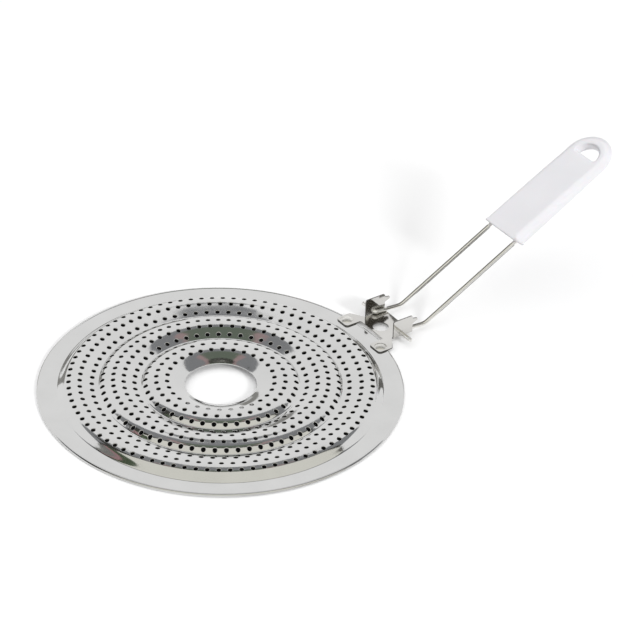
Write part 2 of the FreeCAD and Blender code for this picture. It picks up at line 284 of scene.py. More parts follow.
def moulded_white(name):
    """White moulded plastic: soft gloss with a faint cloudy tone and a fine skin texture."""
    made = Nodes(name)
    place = made.place()
    cloud = made.ranged(made.noise(place, GRIP_CLOUD_SCALE), 0.0, 1.0)
    skin = made.noise(place, SKIN_SCALE, 4.0, 0.6)
    made.join(made.blended(cloud, (0.79, 0.785, 0.81), (0.75, 0.745, 0.77)), "Base Color")
    made.join(made.ranged(skin, 0.30, 0.42), "Roughness")
    made.join(made.bump(skin, SKIN_HEIGHT, 0.35), "Normal")
    made.set("IOR", 1.5)
    made.set("Subsurface Weight", 0.05)
    made.set("Subsurface Scale", 0.002)
    return made.material


DISC_STEEL = sheet_steel("disc_steel", (0.66, 0.66, 0.655), (0.62, 0.62, 0.615), 0.05, 0.10, 0.00026)
# Rough steel for the faces hidden between the two sheets, darkened near to black as painted shade so that
# the holes look black.
INSIDE_SHADE_STEEL = sheet_steel("inside_shade_steel", (0.06, 0.06, 0.06), (0.035, 0.035, 0.035), 0.50, 0.65, 0.00002)
# Rough steel for the hole walls and the bracket's cut edges, rough as cut steel is and darkened as painted
# shade so that the holes and the sheet's edges show dark.
CUT_EDGE_SHADE_STEEL = sheet_steel("cut_edge_shade_steel", (0.20, 0.195, 0.185), (0.12, 0.115, 0.11), 0.35, 0.50, 0.00002)
UNDER_STEEL = sheet_steel("under_steel", (0.62, 0.61, 0.59), (0.52, 0.51, 0.49), 0.18, 0.30, 0.0001)
BRACKET_STEEL = sheet_steel("bracket_steel", (0.66, 0.65, 0.63), (0.58, 0.57, 0.55), 0.06, 0.12, 0.00004)
WIRE_STEEL = sheet_steel("wire_steel", (0.86, 0.85, 0.82), (0.74, 0.73, 0.70), 0.03, 0.06, 0.00003)
RIVET_STEEL = sheet_steel("rivet_steel", (0.80, 0.79, 0.76), (0.74, 0.73, 0.70), 0.30, 0.38, 0.00002)
GRIP_WHITE = moulded_white("grip_white")


# Mesh helpers.


def add_piece(name, mesh, body, materials, node):
    """Adds a mesh as a piece that rides on a body and stands for a node."""
    piece = bpy.data.objects.new(name, mesh)
    bpy.context.scene.collection.objects.link(piece)
    for material in materials:
        mesh.materials.append(material)
    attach(piece, body)
    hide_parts(node)
    return piece


class Skin:
    """Points with their normals, and faces between them."""

    def __init__(self):
        self.points = []
        self.normals = []
        self.faces = []
        self.slots = []
        self.slot = 0
        self.under = False

    def point(self, place, normal):
        """Adds a point and gives its number."""
        self.points.append(Vector(place) * MM)
        self.normals.append(Vector(normal).normalized())
        return len(self.points) - 1

    def face(self, corners):
        """Adds a face, turned over while the skin is turned under."""
        self.faces.append(corners[::-1] if self.under else corners)
        self.slots.append(self.slot)

    def strip(self, first, second):
        """Four-sided faces between two closed rows with the same number of points."""
        count = len(first)
        for i in range(count):
            j = (i + 1) % count
            self.face((first[i], first[j], second[j], second[i]))

    def strips(self, rows):
        """Strips between closed rows, from each one to the next."""
        for first, second in zip(rows, rows[1:]):
            self.strip(first, second)

    def zip(self, inner, outer):
        """Three-sided faces between two closed rows that may have different numbers of points."""
        i = j = 0
        while i < len(inner) or j < len(outer):
            if j * len(inner) <= i * len(outer):
                corners = (inner[i % len(inner)], outer[j % len(outer)], outer[(j + 1) % len(outer)])
                j += 1
            else:
                corners = (inner[i % len(inner)], outer[j % len(outer)], inner[(i + 1) % len(inner)])
                i += 1
            self.face(corners)

    def mesh(self, name):
        made = bpy.data.meshes.new(name)
        made.from_pydata(self.points, [], self.faces)
        made.polygons.foreach_set("material_index", self.slots)
        made.polygons.foreach_set("use_smooth", [True] * len(self.faces))
        made.normals_split_custom_set_from_vertices(self.normals)
        return made


def turned(skin, path, sides, centre=(0, 0)):
    """Rows of points on a path of (radius, height) turned about Z, solid on the path's right."""
    rows = []
    middle = Vector((*centre, 0))
    for i, (radius, height) in enumerate(path):
        before, after = path[max(i - 1, 0)], path[min(i + 1, len(path) - 1)]
        course = Vector((after[0] - before[0], after[1] - before[1])).normalized()
        row = []
        for k in range(sides):
            angle = 2 * math.pi * k / sides
            out = Vector((math.cos(angle), math.sin(angle), 0))
            normal = out * -course.y + Vector((0, 0, course.x))
            row.append(skin.point(middle + out * radius + Vector((0, 0, height)), normal))
        rows.append(row)
    return rows


def join_rows(skin, rows):
    """Faces between turned rows, which look away from the solid."""
    for first, second in zip(rows, rows[1:]):
        skin.strip(second, first)


def arc(centre, radius, start, stop, steps):
    """Points on an arc, its angles in degrees."""
    angles = [math.radians(start + (stop - start) * i / steps) for i in range(steps + 1)]
    return [(centre[0] + radius * math.cos(a), centre[1] + radius * math.sin(a)) for a in angles]


def bent(corners, radii, steps=10):
    """Points along straight runs joined by tangent arcs."""
    points = [corners[0]]
    for before, corner, after, radius in zip(corners, corners[1:], corners[2:], radii):
        back = (before - corner).normalized()
        ahead = (after - corner).normalized()
        half = (math.pi - back.angle(ahead)) / 2
        centre = corner + (back + ahead).normalized() * radius / math.cos(half)
        first = corner + back * radius * math.tan(half) - centre
        axis = back.cross(ahead).normalized()
        for i in range(steps + 1):
            points.append(centre + Quaternion(axis, -2 * half * i / steps) @ first)
    return points + [corners[-1]]


def filled(outline, holes):
    """Corners and faces of a flat outline with holes in it, and where each corner came from."""
    points, loops = [], []
    for loop in [outline] + holes:
        index = list(range(len(points), len(points) + len(loop)))
        turning = sum(a.cross(b) for a, b in zip(loop, loop[1:] + loop[:1]))
        loops.append(index if turning > 0 else index[::-1])
        points += loop
    places, _, faces, origins, _, owners = delaunay_2d_cdt(points, [], loops, 1, 1e-5)
    kept = [face for face, owner in zip(faces, owners) if list(owner) == [0]]
    return places, kept, origins


# The discs.


def hermite(points, radius):
    """Height on a smooth curve through points given as (radius, height)."""
    last = len(points) - 1
    steps = list(zip(points, points[1:]))
    spans = [(z1 - z0) / (r1 - r0) for (r0, z0), (r1, z1) in steps]
    slopes = [spans[0]] + [(a + b) / 2 for a, b in zip(spans, spans[1:])] + [spans[-1]]
    i = next(k for k in range(last) if radius <= points[k + 1][0] or k == last - 1)
    (r0, z0), (r1, z1) = steps[i]
    width = r1 - r0
    t = (radius - r0) / width
    return (
        z0 * (1 + 2 * t) * (1 - t) ** 2
        + slopes[i] * width * t * (1 - t) ** 2
        + z1 * t * t * (3 - 2 * t)
        + slopes[i + 1] * width * t * t * (t - 1)
    )


def sharp_height(radius):
    """The wave's height with sharp creases, and the flange's beyond the last arch."""
    for arch in ARCHES:
        if radius <= arch[-1][0]:
            return hermite(arch, max(radius, arch[0][0]))
    return FLANGE_TOP


def rounded_height(radius):
    """The wave's height with its creases rounded."""
    total = sum(weight for _, weight in CREASE_WEIGHTS)
    return sum(w * sharp_height(radius + share * CREASE_BLEND) for share, w in CREASE_WEIGHTS) / total


wave_heights = {}


def wave_at(radius):
    """Height and slope of the wave at a radius."""
    key = round(radius, 3)
    if key not in wave_heights:
        rise = rounded_height(key + SLOPE_STEP) - rounded_height(key - SLOPE_STEP)
        wave_heights[key] = (rounded_height(key), rise / (2 * SLOPE_STEP))
    return wave_heights[key]


def wave_point(skin, radius, angle):
    """A point on the sheet's upper side, or on its lower side while the skin is turned under."""
    height, slope = wave_at(radius)
    out = Vector((math.cos(angle), math.sin(angle), 0))
    normal = out * -slope + Vector((0, 0, 1))
    if skin.under:
        return skin.point(out * radius + Vector((0, 0, height - GAUGE)), -normal)
    return skin.point(out * radius + Vector((0, 0, height)), normal)


def wave_circle(skin, radius, count, start):
    return [wave_point(skin, radius, start + 2 * math.pi * k / count) for k in range(count)]


def plain_band(skin, inner, inner_radius, outer_radius, start):
    """Circles with the inner one's number of points, up to but not on the outer radius."""
    steps = max(1, math.ceil((outer_radius - inner_radius) / CIRCLE_STEP))
    last = inner
    for i in range(1, steps):
        radius = inner_radius + (outer_radius - inner_radius) * i / steps
        row = wave_circle(skin, radius, len(inner), start)
        skin.strip(row, last)
        last = row
    return last


def hole_ring(skin, radius, angle, size, sink, upward):
    """A ring of points round a hole, with normals from straight up (1) to into the hole (0)."""
    out = Vector((math.cos(angle), math.sin(angle), 0))
    side = Vector((-math.sin(angle), math.cos(angle), 0))
    ring = []
    for k in range(HOLE_SIDES):
        turn = -math.pi / 4 + 2 * math.pi * k / HOLE_SIDES
        spread = out * math.cos(turn) + side * math.sin(turn)
        place = out * radius + spread * size
        height, slope = wave_at(place.length)
        up = (place.normalized() * -slope + Vector((0, 0, 1))).normalized()
        ring.append(skin.point(place + Vector((0, 0, height - sink)), up * upward - spread * (1 - upward)))
    return ring


def hole_row(skin, radius, count, start, feet):
    """A band of cells with a punched hole in each. The holes' feet are made on the upper side."""
    per_cell = HOLE_SIDES // 4
    pitch = 2 * math.pi / count
    first = start - pitch / 2
    total = count * per_cell
    inner = wave_circle(skin, radius - CELL_REACH, total, first)
    outer = wave_circle(skin, radius + CELL_REACH, total, first)
    shares = [1 - 2 * i / per_cell for i in range(1, per_cell)]
    sides = [
        [wave_point(skin, radius + share * CELL_REACH, first + pitch * cell) for share in shares]
        for cell in range(count)
    ]
    for cell in range(count):
        low = cell * per_cell
        edge = [outer[(low + i) % total] for i in range(per_cell + 1)]
        edge += sides[(cell + 1) % count]
        edge += [inner[(low + i) % total] for i in range(per_cell, -1, -1)]
        edge += sides[cell][::-1]
        if skin.under:
            skin.strip(edge, feet[radius, cell])
            continue
        middle = start + pitch * cell
        mouth = hole_ring(skin, radius, middle, HOLE_RADIUS + HOLE_ROUNDING, 0.0, 1.0)
        lip = hole_ring(skin, radius, middle, HOLE_RADIUS, LIP_DEPTH, 0.5)
        feet[radius, cell] = hole_ring(skin, radius, middle, HOLE_RADIUS, GAUGE, 0.0)
        skin.strip(edge, mouth)
        skin.strip(mouth, lip)
        # The hole's wall gets the cut-edge steel, darkened as painted shade.
        skin.slot = CUT_EDGE_SHADE
        skin.strip(lip, feet[radius, cell])
        skin.slot = BRIGHT
    return inner, outer


def begun_near(row, row_start, start):
    """The same row, begun at the point nearest to an angle."""
    shift = round((start - row_start) * len(row) / (2 * math.pi)) % len(row)
    return row[shift:] + row[:shift]


def wave_side(skin, feet):
    """One side of the punched sheet, from the opening to the start of the rim."""
    radius, start = OPENING_RADIUS + OPENING_EDGE, 0.0
    opening = last = wave_circle(skin, radius, RIM_SIDES, start)
    for row_radius, count, angle in reversed(ROWS):
        row_start = math.radians(angle - HANDLE_TURN)
        inner, outer = hole_row(skin, row_radius, count, row_start, feet)
        last = plain_band(skin, last, radius, row_radius - CELL_REACH, start)
        skin.zip(last, begun_near(inner, row_start - math.pi / count, start))
        last, radius, start = outer, row_radius + CELL_REACH, row_start - math.pi / count
    last = plain_band(skin, last, radius, HEM_START, start)
    flange = wave_circle(skin, HEM_START, RIM_SIDES, 0.0)
    skin.zip(last, begun_near(flange, 0.0, start))
    return opening, flange


def make_upper_disc():
    """The punched wave, its rough underside darkened as painted shade, and the rim folded round the lower
    disc.
    """
    skin = Skin()
    feet = {}
    opening, flange = wave_side(skin, feet)
    # The underside gets the steel darkened as painted shade.
    skin.under, skin.slot = True, INSIDE_SHADE
    under_opening, under_flange = wave_side(skin, feet)
    skin.under, skin.slot = False, BRIGHT

    top = wave_at(OPENING_RADIUS)[0]
    bottom = top - GAUGE
    lead = OPENING_EDGE / 3
    lip_path = [
        (OPENING_RADIUS + lead, bottom + lead),
        (OPENING_RADIUS, bottom + OPENING_EDGE),
        (OPENING_RADIUS, top - OPENING_EDGE),
        (OPENING_RADIUS + lead, top - lead),
    ]
    lip = turned(skin, lip_path, RIM_SIDES)
    join_rows(skin, [under_opening] + lip + [opening])

    fold = FLANGE_TOP / 2
    fold_centre = (RIM_RADIUS - fold, fold)
    cut = HEM_START + HEM_CUT
    rim_path = [(HEM_START + out, FLANGE_TOP + rise) for out, rise in BEAD]
    rim_path.append((RIM_RADIUS - BEAD_SETBACK, rim_path[-1][1]))
    rim_path += arc(fold_centre, fold, 55, -90, 12)
    rim_path += [(cut + HEM_ROUNDING, 0.0), (cut, EDGE_ROUNDING)]
    rim_path += [(cut, GAUGE - EDGE_ROUNDING), (cut + HEM_ROUNDING, GAUGE)]
    rim_path += arc(fold_centre, fold - GAUGE, -90, 90, 8)
    rim = turned(skin, rim_path, RIM_SIDES)
    join_rows(skin, [flange] + rim + [under_flange])
    mesh = skin.mesh("upper_disc_mesh")
    materials = [DISC_STEEL, INSIDE_SHADE_STEEL, CUT_EDGE_SHADE_STEEL]
    add_piece("waved_disc", mesh, "plate", materials, "upper_disc")


def make_lower_disc():
    """The flat disc in the folded rim: rough inside and darkened there as painted shade, rubbed bright
    underneath.
    """
    low, high = LOWER_LOW.z, LOWER_HIGH.z
    inner = LOWER_INNER + EDGE_ROUNDING
    outer = RIM_RADIUS - FLANGE_TOP / 2
    skin = Skin()
    # The top, hidden under the wave, gets the steel darkened as painted shade.
    skin.slot = INSIDE_SHADE
    top = turned(skin, [(radius, high) for radius in (inner, *LOWER_RINGS, outer)], RIM_SIDES)
    join_rows(skin, top)
    skin.slot = BRIGHT
    edge_path = [(inner, low), (LOWER_INNER, low + EDGE_ROUNDING), (LOWER_INNER, high - EDGE_ROUNDING)]
    edge = turned(skin, edge_path, RIM_SIDES)
    join_rows(skin, edge + [top[0]])
    under = turned(skin, [(radius, low) for radius in (outer, *LOWER_RINGS[::-1])], RIM_SIDES)
    join_rows(skin, under + [edge[0]])
    mesh = skin.mesh("lower_disc_mesh")
    add_piece("flat_disc", mesh, "plate", [UNDER_STEEL, INSIDE_SHADE_STEEL], "lower_disc")


# The hinge bracket, cut flat and then folded, and its rivets.


def rounded(corners, steps=5):
    """A closed flat outline whose corners (x, y, radius) are rounded."""
    points = []
    for i, (x, y, radius) in enumerate(corners):
        corner = Vector((x, y))
        if not radius:
            points.append(corner)
            continue
        back = (Vector(corners[i - 1][:2]) - corner).normalized()
        ahead = (Vector(corners[(i + 1) % len(corners)][:2]) - corner).normalized()
        half = (math.pi - back.angle(ahead)) / 2
        centre = corner + (back + ahead).normalized() * radius / math.cos(half)
        first = corner + back * radius * math.tan(half) - centre
        last = corner + ahead * radius * math.tan(half) - centre
        sweep = first.angle_signed(last)
        for k in range(steps + 1):
            points.append(centre + Matrix.Rotation(-sweep * k / steps, 2) @ first)
    return points


def ring_points(x, y, radius, count):
    """Points on a full circle."""
    angles = [2 * math.pi * k / count for k in range(count)]
    return [Vector((x + radius * math.cos(a), y + radius * math.sin(a))) for a in angles]


def unfolded(height):
    """Distance along the flat sheet from its middle line to a height on an ear."""
    return FOLD_START + FOLD_LENGTH + height - BASE_TOP - FOLD_INSIDE


def folded(point):
    """Where a point of the flat sheet comes to when the ears are turned up."""
    past = abs(point.y) - FOLD_START
    if point.x < EAR_START - 0.01 or past <= 0:
        return Vector((point.x, point.y, BASE_TOP - SHEET / 2))
    turn = min(past, FOLD_LENGTH) / FOLD_MIDDLE
    rise = max(past - FOLD_LENGTH, 0)
    across = FOLD_START + FOLD_MIDDLE * math.sin(turn)
    height = BASE_TOP + FOLD_INSIDE - FOLD_MIDDLE * math.cos(turn) + rise
    return Vector((point.x, math.copysign(across, point.y), height))


def bracket_outline():
    """The flat blank's outline, with lobes, notch, ears and lugs."""
    ear_top = unfolded(BRACKET_HIGH.z)
    half = [
        (NOTCH_END, NOTCH_HALF, NOTCH_ROUNDING),
        (BRACKET_LOW.x, NOTCH_HALF, LOBE_ROUNDING),
        (BRACKET_LOW.x, BRACKET_HIGH.y, LOBE_ROUNDING),
        (LOBE_END, BRACKET_HIGH.y, LOBE_ROUNDING),
        (EAR_START, FOLD_START, 0),
        (EAR_START, ear_top, EAR_ROUNDING),
        (EAR_END, ear_top, EAR_ROUNDING),
    ]
    half += [(x, unfolded(BASE_TOP + height), rounding) for x, height, rounding in LUG]
    half.append((EAR_END, FOLD_START, 0))
    return rounded(half + [(x, -y, rounding) for x, y, rounding in half[::-1]])


def bracket_mesh():
    """The folded sheet without its thickness."""
    holes = [ring_points(WINDOW_PLACE, 0, WINDOW_RADIUS, 40)]
    for side in (1, -1):
        holes.append(ring_points(PIVOT.x, side * unfolded(PIVOT.z), WIRE_RADIUS + PIVOT_PLAY, WIRE_SIDES))
    places, faces, _ = filled(bracket_outline(), holes)
    work = bmesh.new()
    corners = [work.verts.new((p.x, p.y, 0)) for p in places]
    for face in faces:
        work.faces.new([corners[i] for i in face])
    for side in (1, -1):
        for k in range(FOLD_STEPS + 1):
            line = (0, side * (FOLD_START + FOLD_LENGTH * k / FOLD_STEPS), 0)
            parts = work.verts[:] + work.edges[:] + work.faces[:]
            bmesh.ops.bisect_plane(work, geom=parts, dist=WELD / 2, plane_co=line, plane_no=(0, 1, 0))
    bmesh.ops.remove_doubles(work, verts=work.verts[:], dist=WELD)
    for corner in work.verts:
        corner.co = folded(corner.co) * MM
    bmesh.ops.recalc_face_normals(work, faces=work.faces[:])
    mesh = bpy.data.meshes.new("bracket_mesh")
    work.to_mesh(mesh)
    work.free()
    return mesh


def settle(piece):
    """Replaces a piece's mesh with what its modifiers make of it."""
    ready = piece.evaluated_get(bpy.context.evaluated_depsgraph_get())
    mesh = bpy.data.meshes.new_from_object(ready)
    piece.modifiers.clear()
    piece.data = mesh


def make_bracket():
    """One stamping with rounded lobes, a round window, turned-up ears and a small lug on each."""
    mesh = bracket_mesh()
    materials = [BRACKET_STEEL, CUT_EDGE_SHADE_STEEL]
    piece = add_piece("stamped_bracket", mesh, "plate", materials, "hinge_bracket")
    thick = piece.modifiers.new("gauge", "SOLIDIFY")
    thick.thickness = SHEET * MM
    thick.offset = 0
    thick.use_even_offset = True
    # The sheet's cut edges get the cut-edge steel, darkened as painted shade.
    thick.material_offset_rim = 1
    edge = piece.modifiers.new("edges", "BEVEL")
    edge.width = BRACKET_BEVEL * MM
    edge.segments = 2
    edge.limit_method = "ANGLE"
    edge.angle_limit = BEVEL_ANGLE
    edge.harden_normals = True
    for polygon in mesh.polygons:
        polygon.use_smooth = True
    settle(piece)
    # The notch's edge is as bright as the faces: it gets their steel, not the cut edges' painted shade.
    for polygon in piece.data.polygons:
        x, y, _ = polygon.center / MM
        if abs(x - NOTCH_END) < 0.5 and abs(y) < NOTCH_HALF - EDGE_ROUNDING:
            polygon.material_index = 0


def make_rivet(name, node, side):
    """A low domed head on the bracket and a flat tail under the plate."""
    low, rise = RIVET_LOW.z, RIVET_HIGH.z - BASE_TOP
    ball = (RIVET_HEAD * RIVET_HEAD + rise * rise) / (2 * rise)
    edge_angle = 90 - math.degrees(math.asin(RIVET_HEAD / ball))
    path = arc((0, RIVET_HIGH.z - ball), ball, 90, edge_angle, 10)
    path += [(RIVET_HEAD - EDGE_ROUNDING, BASE_TOP), (RIVET_STEM, BASE_TOP), (RIVET_STEM, GAUGE)]
    path += [(RIVET_TAIL - EDGE_ROUNDING / 2, GAUGE), (RIVET_TAIL, GAUGE - TAIL_ROUNDING)]
    path += [(RIVET_TAIL, low + TAIL_ROUNDING), (RIVET_TAIL - EDGE_ROUNDING, low), (0.0, low)]
    centre = ((RIVET_LOW.x + RIVET_HIGH.x) / 2, side * (RIVET_LOW.y + RIVET_HIGH.y) / 2)
    skin = Skin()
    join_rows(skin, turned(skin, path, RIVET_SIDES, centre))
    add_piece(name, skin.mesh(name + "_mesh"), "plate", [RIVET_STEEL], node)


# The handle.


def rising(angle):
    """Unit vector in the handle's plane, at an angle over the plate."""
    return Vector((math.cos(angle), 0, math.sin(angle)))


KNEE = PIVOT + rising(-ARM_DROP) * ARM_LENGTH
MOUTH = KNEE + rising(SHANK_RISE) * SHANK_LENGTH
GRIP_TILT = Matrix.Rotation(-SHANK_RISE, 3, "Y")


def round_row(skin, centre, heading, up, size, lean):
    """A ring across the wire. Its normals lean along the wire by a share from -1 to 1."""
    across = heading.cross(up)
    row = []
    for k in range(WIRE_SIDES):
        angle = 2 * math.pi * k / WIRE_SIDES
        spread = across * math.cos(angle) + up * math.sin(angle)
        row.append(skin.point(centre + spread * size, spread * (1 - abs(lean)) + heading * lean))
    return row


def wire_along(skin, line):
    """The wire along a line, with its first end rounded off."""
    heading = (line[1] - line[0]).normalized()
    up = heading.orthogonal().normalized()
    tip_length = WIRE_RADIUS * TIP_LENGTH
    rows = []
    for share in TIP_RINGS:
        centre = line[0] + heading * tip_length * share
        size = WIRE_RADIUS * math.sqrt(1 - (1 - share) ** 2)
        rows.append(round_row(skin, centre, heading, up, size, share - 1))
    for i, point in enumerate(line):
        before, after = line[max(i - 1, 0)], line[min(i + 1, len(line) - 1)]
        turn = heading.rotation_difference((after - before).normalized())
        heading, up = turn @ heading, turn @ up
        if i == 0:
            point = point + heading * tip_length
        rows.append(round_row(skin, point, heading, up, WIRE_RADIUS, 0.0))
    join_rows(skin, rows)


def make_wire():
    """Both sides of the bent wire, from the turned-out ends to inside the grip."""
    skin = Skin()
    for side in (1, -1):
        off = Vector((0, side * ARM_SIDE, 0))
        tip = PIVOT + Vector((0, side * WIRE_END, 0))
        inside = MOUTH + rising(SHANK_RISE) * WIRE_HIDDEN
        wire_along(skin, bent([tip, PIVOT + off, KNEE + off, inside + off], [PIVOT_BEND, KNEE_BEND]))
    add_piece("bent_wire", skin.mesh("wire_mesh"), "handle", [WIRE_STEEL], "handle_wire")


def grip_outline():
    """Plan of the grip about its mouth: place, outward normal and edge rounding at each point."""
    half = GRIP_WIDTH / 2
    side = half - GRIP_CORNER
    end = GRIP_LENGTH - half
    straight = end - GRIP_CORNER
    stations = []

    def curve(centre, radius, start, stop, steps):
        for k in range(steps + 1):
            angle = math.radians(start + (stop - start) * k / steps)
            out = Vector((math.cos(angle), math.sin(angle)))
            stations.append((Vector(centre) + out * radius, out))

    curve((GRIP_CORNER, -side), GRIP_CORNER, -180, -90, 8)
    for share in QUARTERS:
        stations.append((Vector((GRIP_CORNER + straight * share, -half)), Vector((0, -1))))
    curve((end, 0), half, -90, 90, 48)
    for share in QUARTERS[::-1]:
        stations.append((Vector((GRIP_CORNER + straight * share, half)), Vector((0, 1))))
    curve((GRIP_CORNER, side), GRIP_CORNER, 90, 180, 8)
    for share in QUARTERS:
        stations.append((Vector((0, side * (1 - 2 * share))), Vector((-1, 0))))
    rounded_off = []
    for place, out in stations:
        sideways = 1 - max(-out.x, 0) ** 2
        rounded_off.append((place, out, MOUTH_EDGE + (GRIP_EDGE - MOUTH_EDGE) * sideways))
    return rounded_off


def hanging_outline():
    """Plan of the half-round hanging hole in the same form, with normals into the hole."""
    centre = GRIP_LENGTH - GRIP_WIDTH / 2 - HANGING_SETBACK
    corner_x, corner_y = centre + HANGING_CORNER, HANGING_RADIUS - HANGING_INSET
    arcs = (
        ((corner_x, -corner_y), HANGING_CORNER, 262, 180, 5),
        ((corner_x, corner_y), HANGING_CORNER, 180, 98, 5),
        ((centre, 0), HANGING_RADIUS, 80, -80, 28),
    )
    stations = []
    for where, radius, start, stop, steps in arcs:
        for place in arc(where, radius, start, stop, steps):
            out = Vector((place[0] - where[0], place[1] - where[1])).normalized()
            stations.append((Vector(place), -out, HANGING_EDGE))
    return stations


def grip_point(skin, plan, height, out, up):
    """A point of the straight grip, thinned to its end, slanted at its mouth and turned up."""
    share = plan.x / GRIP_LENGTH
    thin = 1 - GRIP_TAPER * share * share
    slope = -2 * GRIP_TAPER * share / GRIP_LENGTH * height
    set_back = GRIP_SLANT * (GRIP_THICKNESS / 2 - height) * max(1 - plan.x / SLANT_REACH, 0) ** 2
    normal = Vector((out.x - slope * up * thin, out.y, up * thin))
    if out.x < -0.5:
        normal.z += out.x * GRIP_SLANT
    place = Vector((plan.x + set_back, plan.y, height * thin))
    return skin.point(MOUTH + GRIP_TILT @ place, GRIP_TILT @ normal)


def grip_wall(skin, stations, steps):
    """A wall from the lower face to the upper one along stations, with rounded edges."""
    rows = []
    for level in range(-steps, steps + 1):
        angle = math.radians(90 * level / steps)
        row = []
        for place, out, edge in stations:
            inset = edge * (1 - math.cos(angle))
            straight = math.copysign(GRIP_THICKNESS / 2 - edge, level) if level else 0.0
            height = straight + edge * math.sin(angle)
            outward = out * math.cos(angle)
            row.append(grip_point(skin, place - out * inset, height, outward, math.sin(angle)))
        rows.append(row)
    skin.strips(rows)
    return rows


def make_grip():
    """The moulded grip: rounded all round, thinner to its end, with a half-round hanging hole."""
    skin = Skin()
    outline, hole = grip_outline(), hanging_outline()
    outside = grip_wall(skin, outline, GRIP_STEPS)
    inside = grip_wall(skin, hole, HANGING_STEPS)
    plan, hole_plan = ([place - out * edge for place, out, edge in loop] for loop in (outline, hole))
    places, faces, origins = filled(plan, [hole_plan])
    for upward, known in ((1, outside[-1] + inside[-1]), (-1, outside[0] + inside[0])):
        index = [known[origin[0]] for origin in origins]
        for face in faces:
            a, b, c = (places[i] for i in face[:3])
            corners = tuple(index[i] for i in face)
            skin.face(corners if (b - a).cross(c - a) * upward > 0 else corners[::-1])
    add_piece("moulded_grip", skin.mesh("grip_mesh"), "handle", [GRIP_WHITE], "grip")


make_upper_disc()
make_lower_disc()
make_bracket()
make_rivet("rivet_left", "left_rivet", 1)
make_rivet("rivet_right", "right_rivet", -1)
make_wire()
make_grip()


# Floor, light and camera.

# The floor's width in metres, its grey, and the share of white that it adds to its lit colour.
FLOOR_WIDTH = 6.0
FLOOR_TONE = 0.80
FLOOR_GLOW = 0.15

# Strength of the white surroundings as light. The camera and mirror images see them at 1.
SKY_FILL = 0.6

# Lamps: strength, softness in degrees, and the place that each shines from.
LAMPS = (
    ("key", 1.5, 12, (1.26, -1.28, 0.91)),
    ("top", 1.0, 90, (-0.3, 0.3, 1.6)),
)

# Cards overhead that only polished surfaces see: colour, and left, right, near and far edge in
# shares of their height. Each hangs a little lower than the one before it and hides it.
CEILING = 1.6
CARD_STEP = 0.01
CARDS = (
    ("grey_card", (0.27, 0.275, 0.285), -1.2, 1.2, 0.10, 0.78),
    ("side_card", (0.24, 0.24, 0.225), -1.3, 1.3, -1.0, 0.22),
    ("right_wall_card", (0.07, 0.065, 0.055), 1.2, 2.2, -1.4, 0.2),
    ("warm_card", (0.88, 0.87, 0.80), -0.88, 1.25, -0.80, 0.20),
    ("left_green_card", (0.08, 0.11, 0.065), -0.98, -0.80, -0.60, 0.20),
    ("far_left_pink_card", (0.45, 0.26, 0.28), -1.06, -0.98, -0.60, 0.20),
    ("left_dark_card", (0.06, 0.06, 0.055), -0.85, -0.48, 0.12, 0.56),
    ("dark_card", (0.05, 0.05, 0.045), -1.2, 1.2, 0.19, 0.27),
    ("green_card", (0.16, 0.19, 0.15), -0.17, 0.18, 0.27, 0.55),
    ("left_pink_card", (0.42, 0.31, 0.31), -0.24, -0.17, 0.27, 0.55),
    ("right_pink_card", (0.42, 0.31, 0.31), 0.18, 0.25, 0.27, 0.55),
)

# Upright cards near the horizon, which the wire and the steep slopes of the steel see: colour,
# size, place, and turn about X.
FLAGS = (
    ("far_flag", (0.30, 0.295, 0.28), (0.9, 0.30), (0.35, 1.4, 0.15), math.pi / 2),
    ("near_flag", (0.10, 0.098, 0.09), (1.8, 0.3), (0.3, -1.4, 0.15), -math.pi / 2),
)

# Dark strips beside the wire, which draw the dark lines along it: their distance from its middle
# and how far from the pivot they begin, both in millimetres, their shift along the wire in shares
# of that distance, and the angles round the wire, in degrees, at which their corners lie.
SHIELD_COLOUR = (0.16, 0.157, 0.147)
SHIELD_REACH = 11.0
SHIELD_START = 13.0
SHIELD_LEAD = 0.18
SHIELDS = (
    ("far_shield", (-20, 0, 20, 40, 60, 80)),
    ("low_shield", (226, 250, 274, 298)),
)

# Camera: a long lens, its axis meeting the floor between the plate and the handle.
CAMERA_AIM = Vector((89.07, 31.43, 0.0)) * MM
CAMERA_TURN = math.radians(-35.887)
CAMERA_HEIGHT = math.radians(33.323)
CAMERA_DISTANCE = 2.0456
CAMERA_ROLL = math.radians(1.687)
CAMERA_SENSOR = 36
CAMERA_LENS = 196.9


def seen_from(right, away, up):
    """A place given to the right of, away from and above the plate as the camera sees it."""
    turn = math.radians(HANDLE_TURN)
    x = right * math.cos(turn) + away * math.sin(turn)
    y = away * math.cos(turn) - right * math.sin(turn)
    return Vector((x, y, up))


def add_stage(name, corners, faces):
    """Adds a mesh that belongs to the stage."""
    mesh = bpy.data.meshes.new(name)
    mesh.from_pydata(corners, [], faces)
    piece = bpy.data.objects.new(name, mesh)
    bpy.context.scene.collection.objects.link(piece)
    return piece


def flat_stage(name, size, place):
    """A flat four-sided sheet of the stage."""
    x, y = size[0] / 2, size[1] / 2
    piece = add_stage(name, [(-x, -y, 0), (x, -y, 0), (x, y, 0), (-x, y, 0)], [(0, 1, 2, 3)])
    piece.location = place
    return piece


def floor_material():
    """Pale floor that shows white to the camera and keeps the soft shadow."""
    made = Nodes("floor")
    path = made.add("ShaderNodeLightPath").outputs
    seen = made.calculated("MAXIMUM", path["Is Camera Ray"], path["Is Glossy Ray"])
    made.set("Base Color", (FLOOR_TONE, FLOOR_TONE, FLOOR_TONE, 1))
    made.set("Roughness", 0.9)
    made.set("Specular IOR Level", 0.0)
    made.set("Emission Color", (1, 1, 1, 1))
    made.join(made.calculated("MULTIPLY", seen, FLOOR_GLOW), "Emission Strength")
    return made.material


